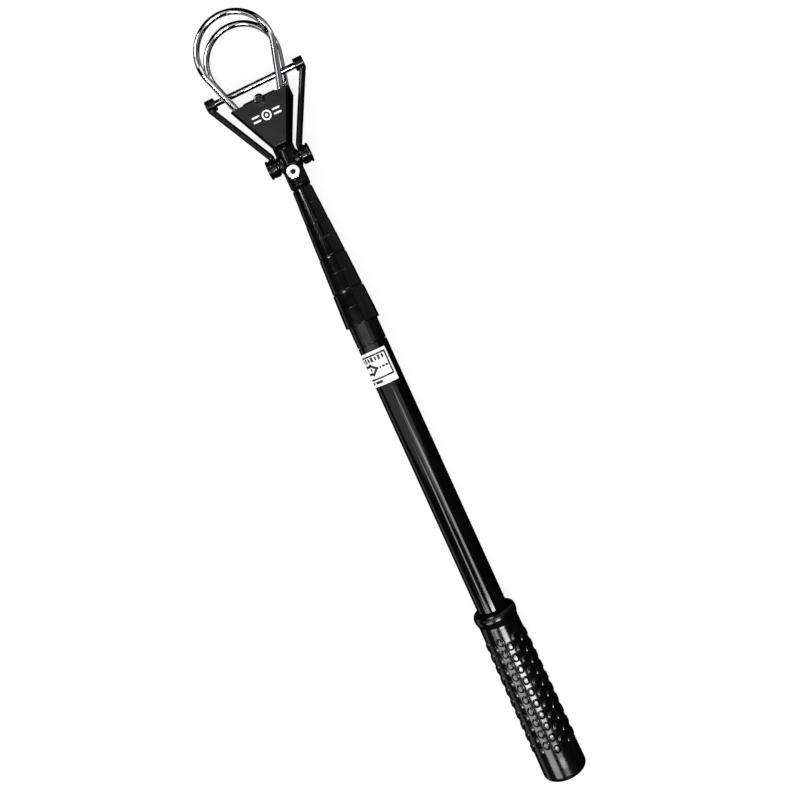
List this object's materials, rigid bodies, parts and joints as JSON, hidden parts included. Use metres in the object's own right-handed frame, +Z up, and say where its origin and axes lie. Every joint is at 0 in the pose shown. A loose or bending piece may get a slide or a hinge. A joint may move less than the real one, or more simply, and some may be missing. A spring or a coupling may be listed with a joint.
{
  "type": "golf ball retriever",
  "caption": "Telescopic golf ball retriever: nested tubes with stepped collars, wedge head, twin wire hoops and a sprung crossbar.",
  "frame": {"origin": "bottom centre of the closed retriever's bounding box, which is the surface it lies on", "axes": "+X runs along the pole from the grip's butt to the hoops' tips; +Z is up, out of the head's front face; +Y completes the right-handed frame, along the crossbar"},
  "size_m": [0.4947, 0.0648, 0.0282],
  "materials": {
    "grip_rubber": "glossy black soft vinyl with raised oval studs",
    "black_tube": "gloss black lacquered aluminium",
    "black_gloss": "gloss black moulded plastic",
    "arm_plastic": "satin black moulded plastic",
    "head_plastic": "charcoal moulded plastic, fine matt texture",
    "chrome": "polished chrome",
    "steel": "plain steel",
    "bush": "natural acetal",
    "label": "white printed vinyl film"
  },
  "bodies": {
    "handle": {"grip": "grip_rubber", "tube_1": "black_tube", "butt_plug": "black_gloss", "collar_1": "black_gloss", "label": "label"},
    "section_2": {"tube_2": "black_tube", "collar_2": "black_gloss", "bush_2": "bush"},
    "section_3": {"tube_3": "black_tube", "collar_3": "black_gloss", "bush_3": "bush"},
    "section_4": {"tube_4": "black_tube", "collar_4": "black_gloss", "bush_4": "bush"},
    "head": {"rod_5": "black_tube", "bush_5": "bush", "head_front": "head_plastic", "head_back": "head_plastic", "hoop_front": "chrome", "hoop_back": "chrome", "rivet": "chrome", "head_screw": "black_gloss", "head_nut": "steel", "pivot_pin": "steel", "spring_left": "steel", "spring_right": "steel"},
    "bar": {"arm_left": "arm_plastic", "arm_right": "arm_plastic", "crossbar": "chrome"}
  },
  "joints": [
    {"name": "slide_2", "type": "slide", "parent": "handle", "child": "section_2", "axis": [1, 0, 0], "range_m": [0, 0.2115]},
    {"name": "slide_3", "type": "slide", "parent": "section_2", "child": "section_3", "axis": [1, 0, 0], "range_m": [0, 0.2765]},
    {"name": "slide_4", "type": "slide", "parent": "section_3", "child": "section_4", "axis": [1, 0, 0], "range_m": [0, 0.2945]},
    {"name": "slide_5", "type": "slide", "parent": "section_4", "child": "head", "axis": [1, 0, 0], "range_m": [0, 0.3125]},
    {"name": "bar_swing", "type": "hinge", "parent": "head", "child": "bar", "pos_m": [0.15225, 0, 0.0139], "axis": [0, 1, 0], "range_deg": [-7, 7], "stiffness_Nm_per_rad": 0.3}
  ]
}
